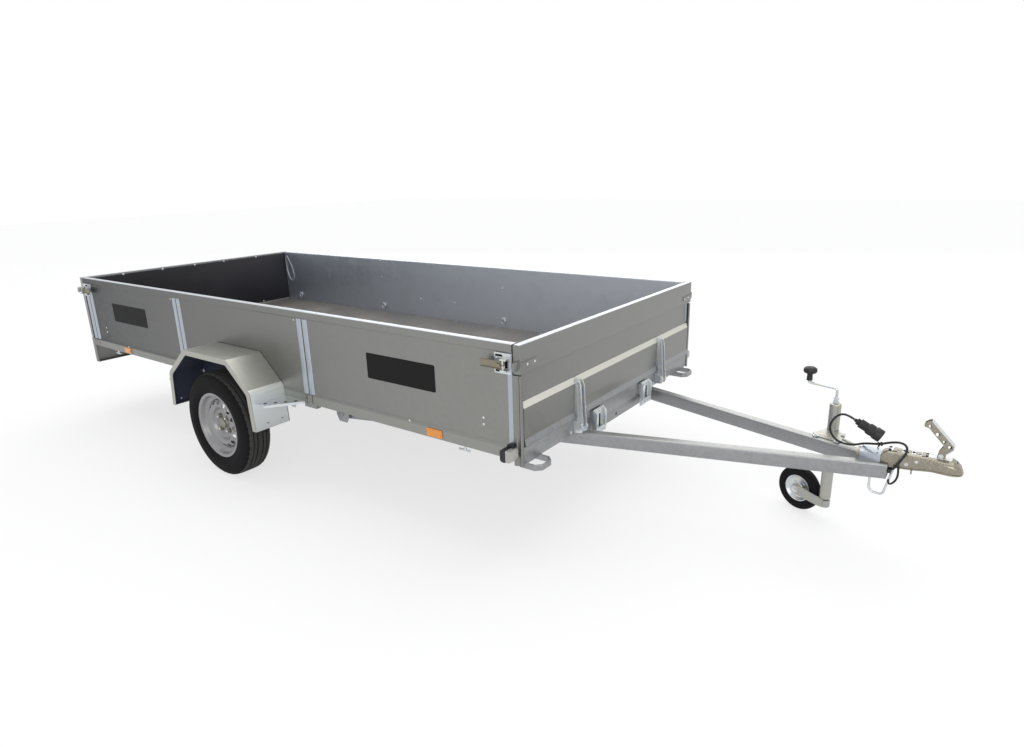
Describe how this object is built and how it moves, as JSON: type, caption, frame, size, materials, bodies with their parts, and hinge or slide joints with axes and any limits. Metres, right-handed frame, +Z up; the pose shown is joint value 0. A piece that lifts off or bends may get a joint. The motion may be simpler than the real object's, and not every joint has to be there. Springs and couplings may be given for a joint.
{
  "type": "utility trailer",
  "caption": "Single axle tilting flat bed utility trailer with galvanised sides, hinged front and rear gates, V drawbar, ball coupling and jockey wheel.",
  "frame": {"origin": "on the ground under the middle of the overall box", "axes": "+X forward along the drawbar, +Y to the left side, +Z up"},
  "size_m": [5.197, 2.076, 0.942],
  "materials": {
    "zinc_sheet": "smooth zinc coated sheet, dull grey",
    "zinc_frame": "hot dip galvanised, light grey with soft spangle",
    "zinc_bright": "bright zinc plated fittings",
    "zinc_gold": "pale golden zinc on the coupling",
    "plywood": "dark brown film faced plywood",
    "tyre": "black road tyre",
    "rim_silver": "silver painted steel",
    "black_rubber": "solid black rubber",
    "black_plastic": "matt black plastic",
    "amber": "amber reflex plastic",
    "red_lens": "red lens plastic",
    "white_lens": "clear white lens plastic",
    "white_plate": "blank white plate",
    "cable_black": "black cable jacket",
    "wire_steel": "bright steel wire"
  },
  "bodies": {
    "bed": {"floor": "plywood", "side_wall_left": "zinc_sheet", "side_wall_right": "zinc_sheet", "corner_posts": "zinc_frame", "cross_members": "zinc_frame", "front_beam": "zinc_frame", "light_panel": "zinc_frame", "tail_lamp_bases": "black_plastic", "tail_lamp_lenses": "red_lens", "number_plate": "white_plate", "strap_brackets": "zinc_bright", "lock_plates": "zinc_bright", "tailgate_hinges": "zinc_bright", "latches": "zinc_bright", "fender_left": "zinc_sheet", "fender_right": "zinc_sheet", "fender_gussets": "zinc_frame", "axle_beam": "zinc_frame", "axle_arms": "zinc_frame", "pivot_brackets": "zinc_frame", "front_loops": "zinc_frame", "marker_bases": "black_plastic", "marker_lenses": "white_lens", "side_reflectors": "amber", "lashing_rings": "zinc_bright", "rope_hooks": "zinc_bright", "gate_wires": "wire_steel"},
    "front_gate": {"front_gate": "zinc_sheet", "gate_straps": "zinc_bright", "front_catches": "zinc_bright"},
    "tailgate": {"tailgate_board": "plywood", "tailgate_frame": "zinc_frame", "rear_catches": "zinc_bright"},
    "wheel_left": {"hub_left": "zinc_bright", "rim_left": "rim_silver", "tyre_left": "tyre"},
    "wheel_right": {"hub_right": "zinc_bright", "rim_right": "rim_silver", "tyre_right": "tyre"},
    "drawbar": {"drawbar": "zinc_frame", "nose_box": "zinc_frame", "nose_rod": "zinc_bright", "coupling": "zinc_gold", "coupling_handle": "zinc_bright", "jockey_clamp": "zinc_bright", "jockey_tube": "zinc_bright", "jockey_knob": "black_plastic", "plug": "black_plastic", "electric_cable": "cable_black", "safety_cable": "cable_black"},
    "jockey_leg": {"jockey_leg": "zinc_bright"},
    "jockey_fork": {"jockey_fork": "zinc_bright"},
    "jockey_wheel": {"jockey_disc": "zinc_bright", "jockey_tyre": "black_rubber"}
  },
  "joints": [
    {"name": "wheel_left_spin", "type": "hinge", "parent": "bed", "child": "wheel_left", "pos_m": [-0.7155, 0.9555, 0.289], "axis": [0, 1, 0], "continuous": true},
    {"name": "wheel_right_spin", "type": "hinge", "parent": "bed", "child": "wheel_right", "pos_m": [-0.7155, -0.9555, 0.289], "axis": [0, 1, 0], "continuous": true},
    {"name": "bed_tilt", "type": "hinge", "parent": "bed", "child": "drawbar", "pos_m": [-0.0005, 0, 0.411], "axis": [0, 1, 0], "range_deg": [0, 14]},
    {"name": "front_gate_hinge", "type": "hinge", "parent": "bed", "child": "front_gate", "pos_m": [1.2095, 0, 0.475], "axis": [0, 1, 0], "range_deg": [0, 90]},
    {"name": "tailgate_hinge", "type": "hinge", "parent": "bed", "child": "tailgate", "pos_m": [-2.5725, 0, 0.525], "axis": [0, -1, 0], "range_deg": [0, 90]},
    {"name": "jockey_extend", "type": "slide", "parent": "drawbar", "child": "jockey_leg", "axis": [0, 0, -1], "range_m": [0, 0.2]},
    {"name": "jockey_swivel", "type": "hinge", "parent": "jockey_leg", "child": "jockey_fork", "pos_m": [2.1015, 0.232, 0.087], "axis": [0, 0, 1], "continuous": true},
    {"name": "jockey_wheel_spin", "type": "hinge", "parent": "jockey_fork", "child": "jockey_wheel", "pos_m": [1.97877, 0.29129, 0.105], "axis": [0.3746, 0.9272, 0], "continuous": true}
  ]
}
